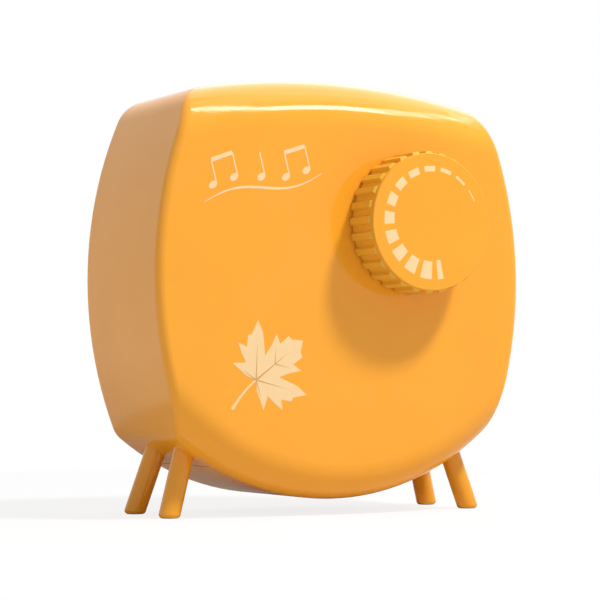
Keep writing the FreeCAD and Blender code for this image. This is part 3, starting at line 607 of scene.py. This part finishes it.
def bars(tree, place, marks):
    """A mask that is 1 on the knob's printed bars."""
    x, _, z = add(tree, "ShaderNodeSeparateXYZ", {"Vector": place}).outputs
    across = calc(tree, "SUBTRACT", x, KNOB_CENTRE.x + marks.ring_place[0])
    up = calc(tree, "SUBTRACT", z, KNOB_CENTRE.z + marks.ring_place[1])
    squares = calc(tree, "ADD", calc(tree, "POWER", across, 2.0), calc(tree, "POWER", up, 2.0))
    radius = calc(tree, "SQRT", squares)
    angle = calc(tree, "ARCTAN2", up, across)
    turned = calc(tree, "WRAP", calc(tree, "SUBTRACT", marks.first, angle), math.tau, 0.0)
    steps = calc(tree, "DIVIDE", turned, marks.step)
    number = calc(tree, "ROUND", steps)
    aside = calc(tree, "ABSOLUTE", calc(tree, "SUBTRACT", steps, number))
    ends = []
    for first, last in zip(marks.first_ends, marks.last_ends):
        change = calc(tree, "MULTIPLY", number, (last - first) / (marks.count - 1))
        ends.append(calc(tree, "ADD", change, first))
    mask = calc(tree, "LESS_THAN", aside, marks.width / marks.step / 2)
    for part in (
        calc(tree, "LESS_THAN", steps, marks.count - 0.5),
        calc(tree, "GREATER_THAN", radius, ends[0]),
        calc(tree, "LESS_THAN", radius, ends[1]),
    ):
        mask = calc(tree, "MULTIPLY", mask, part)
    return mask


def to_front(shape, place, turn, thickness):
    """Gives a flat drawing the ink's thickness and lays it on the case's front."""
    bmesh.ops.recalc_face_normals(shape, faces=shape.faces[:])
    faces = bmesh.ops.extrude_face_region(shape, geom=shape.faces[:])["geom"]
    raised = [item for item in faces if isinstance(item, bmesh.types.BMVert)]
    bmesh.ops.translate(shape, verts=raised, vec=(0, 0, thickness + INK_SUNK))
    stand = Matrix.Translation((place[0], FRONT + INK_SUNK, place[1]))
    stand = stand @ Matrix.Rotation(math.radians(90), 4, "X") @ Matrix.Rotation(turn, 4, "Z")
    bmesh.ops.transform(shape, matrix=stand, verts=shape.verts[:])
    bmesh.ops.recalc_face_normals(shape, faces=shape.faces[:])


def add_print(name, shape, material):
    """A printed piece on the case."""
    mesh = bpy.data.meshes.new(name)
    shape.to_mesh(mesh)
    shape.free()
    if not mesh.polygons:
        raise RuntimeError(f"{name} has no faces")
    mesh.materials.append(material)
    piece = bpy.data.objects.new(name, mesh)
    bpy.context.scene.collection.objects.link(piece)
    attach(piece, "case")
    return piece


def ribbon(shape, line, width, pieces=32, lift=0.0):
    """A flat stroke along a line, a function that gives the point at each share of its length."""
    step = 0.001
    made = bmesh.ops.create_grid(shape, x_segments=pieces, y_segments=1, size=0.5)["verts"]
    for vert in made:
        share = vert.co.x + 0.5
        side = math.copysign(0.5, vert.co.y)
        point = line(share)
        ahead = line(share + step) - line(share - step)
        across = Vector((-ahead.y, ahead.x)).normalized()
        vert.co = (*(point + across * side * width(share)), lift)


def straight(start, end):
    """A straight line for a ribbon."""
    return lambda share: Vector(start).lerp(Vector(end), share)


def leaf_half(shape, side):
    """Half of the leaf as one face."""
    shape.faces.new([shape.verts.new((side * x, y, 0)) for x, y in LEAF_EDGE])


def leaf_stalk(share):
    """The leaf's curved stalk, from its foot down."""
    return Vector((STALK_BEND * share * share, -STALK_DROP * share + STALK_START))


def stalk_width(share):
    """Width of the leaf's stalk, which swells towards its end."""
    return STALK_WIDTH + STALK_SWELL * share ** 3


def tapered(width):
    """Width of a vein, which narrows towards its end."""
    return lambda share: width * (1 + VEIN_TIP - share)


def aim(turn, rise):
    """A direction from the case, turned from its front to the right and raised."""
    level = math.cos(rise)
    return Vector((math.sin(turn) * level, -math.cos(turn) * level, math.sin(rise)))


class MUSICBOX_OT_finish_case(bpy.types.Operator):
    """Give the case, its covers and its legs their polished plastic"""

    bl_idname = "music_box.finish_case"
    bl_label = "Finish Case"

    def execute(self, context):
        finish = context.scene.case_finish
        made = plastic("orange_plastic", finish, finish.colour, finish.shade)
        case, tree, shader, place, _, gloss = made
        height = add(tree, "ShaderNodeSeparateXYZ", {"Vector": place}).outputs["Z"]
        worn = smooth(tree, height, DULL_FROM, DULL_TO, finish.dulled)
        plug(tree, shader.inputs["Roughness"], calc(tree, "ADD", gloss, worn))
        dress(CASE_NODES, case)
        # The legs get the case's plastic darkened with painted shade
        dense = [LEG_SHADE * part for part in finish.shaded_leg_colour]
        legs, *_ = plastic("shaded_leg_plastic", finish, finish.shaded_leg_colour, dense)
        dress(LEG_NODES, legs)
        return {"FINISHED"}


class MUSICBOX_OT_finish_knob(bpy.types.Operator):
    """Give the winding knob its plastic, painted shade on its ridges and its printed bars"""

    bl_idname = "music_box.finish_knob"
    bl_label = "Finish Knob"

    def execute(self, context):
        scene = context.scene
        finish = scene.case_finish
        made = plastic("knob_plastic", finish, finish.colour, finish.shade)
        material, tree, shader, place, colour, gloss = made
        depth = add(tree, "ShaderNodeSeparateXYZ", {"Vector": place}).outputs["Y"]
        on_face = calc(tree, "LESS_THAN", depth, KNOB_LOW.y + KNOB_FACE)
        off_face = calc(tree, "SUBTRACT", 1.0, on_face)
        marks = bars(tree, place, scene.knob_marks)
        printed = blend(tree, marks, colour, rgba(scene.front_prints.ink))
        # Painted shade and painted greyish reflection on the ridges, in random patches where the
        # plain plastic shows through
        shade_spots = between(tree, noise(tree, place, GRIP_SHADE_SPOTS), 0.0, GRIP_PATCHES)
        grip = blend(tree, shade_spots, rgba(finish.shaded_grip_colour), colour)
        worn = calc(tree, "MULTIPLY_ADD", off_face, finish.grip_dulled, gloss)
        plug(tree, shader.inputs["Base Color"], blend(tree, on_face, grip, printed))
        plug(tree, shader.inputs["Roughness"], worn)
        shader.inputs["Specular IOR Level"].default_value = finish.knob_shine
        dress(KNOB_NODES, material)
        return {"FINISHED"}


class MUSICBOX_OT_finish_movement(bpy.types.Operator):
    """Give the movement its brass, steel, zinc and nylon"""

    bl_idname = "music_box.finish_movement"
    bl_label = "Finish Movement"

    def execute(self, context):
        for slot, finish in MOVEMENT_FINISHES.items():
            dress(nodes_of_slot(slot), machined(slot, *finish))
        return {"FINISHED"}


class MUSICBOX_OT_print_leaf(bpy.types.Operator):
    """Print the maple leaf and its veins on the front"""

    bl_idname = "music_box.print_leaf"
    bl_label = "Print Leaf"

    def execute(self, context):
        prints = context.scene.front_prints
        size = Matrix.Scale(prints.leaf_length, 4)
        blade = bmesh.new()
        for side in (1, -1):
            leaf_half(blade, side)
        bmesh.ops.remove_doubles(blade, verts=blade.verts[:], dist=0.001)
        ribbon(blade, leaf_stalk, stalk_width, lift=LEAF_LAYER)
        bmesh.ops.transform(blade, matrix=size, verts=blade.verts[:])
        to_front(blade, prints.leaf_place, prints.leaf_turn, prints.thickness)
        add_print("leaf_print", blade, ink("cream_ink", prints.ink))
        veins = bmesh.new()
        lift = 0.0
        for start, end, width in LEAF_VEINS:
            for side in (1, -1) if end[0] else (1,):
                line = straight((side * start[0], start[1]), (side * end[0], end[1]))
                ribbon(veins, line, tapered(width), pieces=6, lift=lift)
                lift += LEAF_LAYER
        bmesh.ops.transform(veins, matrix=size, verts=veins.verts[:])
        to_front(veins, prints.leaf_place, prints.leaf_turn, VEIN_BUILD_UP * prints.thickness)
        add_print("leaf_veins", veins, ink("vein_ink", prints.vein))
        return {"FINISHED"}


class MUSICBOX_OT_print_tune(bpy.types.Operator):
    """Print a plain line of notes on the front"""

    bl_idname = "music_box.print_tune"
    bl_label = "Print Tune"

    def execute(self, context):
        prints = context.scene.front_prints
        length = prints.tune_length
        tune = bmesh.new()

        def swash(share):
            wave = TUNE_WAVE * math.sin(math.tau * share)
            return Vector((length * share, length * wave))

        def swell(share):
            return TUNE_STROKE * (TIP_WIDTH + math.sin(math.pi * min(max(share, 0.0), 1.0)))

        ribbon(tune, swash, swell, pieces=64)
        tops = []
        for share in NOTE_PLACES:
            head = swash(share) + Vector((0, HEAD_RISE))
            oval = Matrix.Translation((*head, 2 * TUNE_LAYER))
            oval = oval @ Matrix.Rotation(HEAD_SLOPE, 4, "Z") @ Matrix.Diagonal(HEAD_STRETCH)
            bmesh.ops.create_circle(
                tune, cap_ends=True, segments=24, radius=HEAD_RADIUS, matrix=oval
            )
            foot = Vector((head.x + STEM_ASIDE, head.y))
            top = Vector((foot.x, head.y + STEM_LENGTH))
            stem = straight(foot, top)
            ribbon(tune, stem, lambda _: STEM_WIDTH * TUNE_STROKE, pieces=1, lift=TUNE_LAYER)
            tops.append(top)
        for left, right in NOTE_BEAMS:
            beam = straight(tops[left], tops[right])
            ribbon(tune, beam, lambda _: BEAM_WIDTH * TUNE_STROKE, pieces=1, lift=2 * TUNE_LAYER)
        to_front(tune, prints.tune_place, prints.tune_slope, prints.thickness)
        add_print("tune_print", tune, ink("tune_ink", prints.ink))
        return {"FINISHED"}


class MUSICBOX_OT_set_stage(bpy.types.Operator):
    """Set the floor, the background, the light and the camera"""

    bl_idname = "music_box.set_stage"
    bl_label = "Set Stage"

    def execute(self, context):
        scene = context.scene
        stage = scene.studio_stage
        self.add_floor(scene, stage)
        self.add_background(scene, stage)
        self.add_lamps(scene, stage)
        self.add_camera(scene, stage)
        scene.view_settings.view_transform = "Standard"
        return {"FINISHED"}

    def seen_rays(self, tree):
        """1 for rays that show the background: from the camera, in gloss and through glass."""
        path = add(tree, "ShaderNodeLightPath").outputs
        seen = calc(tree, "MAXIMUM", path["Is Camera Ray"], path["Is Glossy Ray"])
        return calc(tree, "MAXIMUM", seen, path["Is Transmission Ray"])

    def add_floor(self, scene, stage):
        """A pale floor that keeps the shadow, fades into the background and is clear from below."""
        shape = bmesh.new()
        below_feet = Matrix.Translation((0, 0, -FLOOR_DROP))
        bmesh.ops.create_grid(
            shape, x_segments=1, y_segments=1, size=FLOOR_REACH, matrix=below_feet
        )
        mesh = bpy.data.meshes.new("studio_floor")
        shape.to_mesh(mesh)
        shape.free()
        floor = bpy.data.objects.new("studio_floor", mesh)
        scene.collection.objects.link(floor)
        material, tree, shader, place = new_finish("pale_floor")
        camera = add(tree, "ShaderNodeLightPath").outputs["Is Camera Ray"]
        pale = blend(tree, noise(tree, place, FLOOR_SPECKS), FLOOR_PALE, FLOOR_SPECK)
        plug(tree, shader.inputs["Base Color"], blend(tree, camera, pale, FLOOR_SEEN))
        shader.inputs["Roughness"].default_value = FLOOR_ROUGHNESS
        glow = add(tree, "ShaderNodeEmission", {"Color": WHITE, "Strength": 1.0})
        away = add(tree, "ShaderNodeVectorMath", {0: place}, operation="LENGTH").outputs["Value"]
        faded = smooth(tree, away, stage.floor_shaded, stage.floor_faded)
        near = calc(tree, "MULTIPLY", camera, stage.floor_glow)
        share = calc(tree, "MULTIPLY", self.seen_rays(tree), calc(tree, "MAXIMUM", near, faded))
        lit = add(tree, "ShaderNodeMixShader", {0: share, 1: shader.outputs[0], 2: glow.outputs[0]})
        below = add(tree, "ShaderNodeNewGeometry").outputs["Backfacing"]
        clear = add(tree, "ShaderNodeBsdfTransparent")
        mix = add(tree, "ShaderNodeMixShader", {0: below, 1: lit.outputs[0], 2: clear.outputs[0]})
        plug(tree, tree.nodes["Material Output"].inputs["Surface"], mix.outputs[0])
        mesh.materials.append(material)

    def add_background(self, scene, stage):
        """A white background that lights the case with less than it shows."""
        world = bpy.data.worlds.new("white_studio")
        world.use_nodes = True
        tree = world.node_tree
        strength = spread(tree, self.seen_rays(tree), 0.0, 1.0, stage.ambient, 1.0)
        background = tree.nodes["Background"]
        background.inputs["Color"].default_value = WHITE
        plug(tree, background.inputs["Strength"], strength)
        scene.world = world

    def add_lamps(self, scene, stage):
        """The lamp that lights the case and those that show in its gloss."""
        self.add_panel(scene, stage, *KEY_PANEL).visible_glossy = False
        for panel in GLOSS_PANELS:
            self.add_panel(scene, stage, *panel).visible_diffuse = False

    def add_panel(self, scene, stage, name, turn, rise, size, brightness, share, roll):
        """A flat lamp that faces the case, turned from its front to the right and raised."""
        lamp = bpy.data.lights.new(name, "AREA")
        lamp.shape = "RECTANGLE"
        lamp.size, lamp.size_y = size
        lamp.energy = math.pi * lamp.size * lamp.size_y * share * getattr(stage, brightness)
        panel = bpy.data.objects.new(name, lamp)
        towards = aim(math.radians(turn), math.radians(rise))
        panel.location = Vector(stage.target) + towards * stage.light_distance
        facing = towards.to_track_quat("Z", "Y").to_matrix()
        rolled = facing @ Matrix.Rotation(math.radians(roll), 3, "Z")
        panel.rotation_euler = rolled.to_euler()
        panel.visible_camera = False
        scene.collection.objects.link(panel)
        return panel

    def add_camera(self, scene, stage):
        """A camera at the photograph's viewing angle."""
        data = bpy.data.cameras.new("photo_camera")
        data.sensor_width = SENSOR_WIDTH
        data.lens = stage.lens
        data.clip_start = CLIP_START
        camera = bpy.data.objects.new("photo_camera", data)
        outward = aim(stage.turn, stage.rise)
        camera.location = Vector(stage.target) + outward * stage.distance
        camera.rotation_euler = outward.to_track_quat("Z", "Y").to_euler()
        scene.collection.objects.link(camera)
        scene.camera = camera


OPERATORS = (
    MUSICBOX_OT_finish_case,
    MUSICBOX_OT_finish_knob,
    MUSICBOX_OT_finish_movement,
    MUSICBOX_OT_print_leaf,
    MUSICBOX_OT_print_tune,
    MUSICBOX_OT_set_stage,
)

SETTINGS = {
    "case_finish": CaseFinish,
    "knob_marks": KnobMarks,
    "front_prints": FrontPrints,
    "studio_stage": StudioStage,
}


class MUSICBOX_PT_panel(bpy.types.Panel):
    """Steps and settings of the music box"""

    bl_label = "Music Box"
    bl_space_type = "VIEW_3D"
    bl_region_type = "UI"
    bl_category = "Music Box"

    def draw(self, context):
        for operator in OPERATORS:
            self.layout.operator(operator.bl_idname)
        for name, group in SETTINGS.items():
            box = self.layout.box()
            for setting in group.__annotations__:
                box.prop(getattr(context.scene, name), setting)


def register():
    for group in SETTINGS.values():
        bpy.utils.register_class(group)
    for operator in OPERATORS:
        bpy.utils.register_class(operator)
    bpy.utils.register_class(MUSICBOX_PT_panel)
    for name, group in SETTINGS.items():
        setattr(bpy.types.Scene, name, PointerProperty(type=group))


def unregister():
    for name in SETTINGS:
        delattr(bpy.types.Scene, name)
    bpy.utils.unregister_class(MUSICBOX_PT_panel)
    for operator in reversed(OPERATORS):
        bpy.utils.unregister_class(operator)
    for group in reversed(SETTINGS.values()):
        bpy.utils.unregister_class(group)


def main():
    register()
    bpy.ops.music_box.finish_case()
    bpy.ops.music_box.finish_knob()
    bpy.ops.music_box.finish_movement()
    bpy.ops.music_box.print_leaf()
    bpy.ops.music_box.print_tune()
    bpy.ops.music_box.set_stage()


if __name__ == "__main__":
    main()
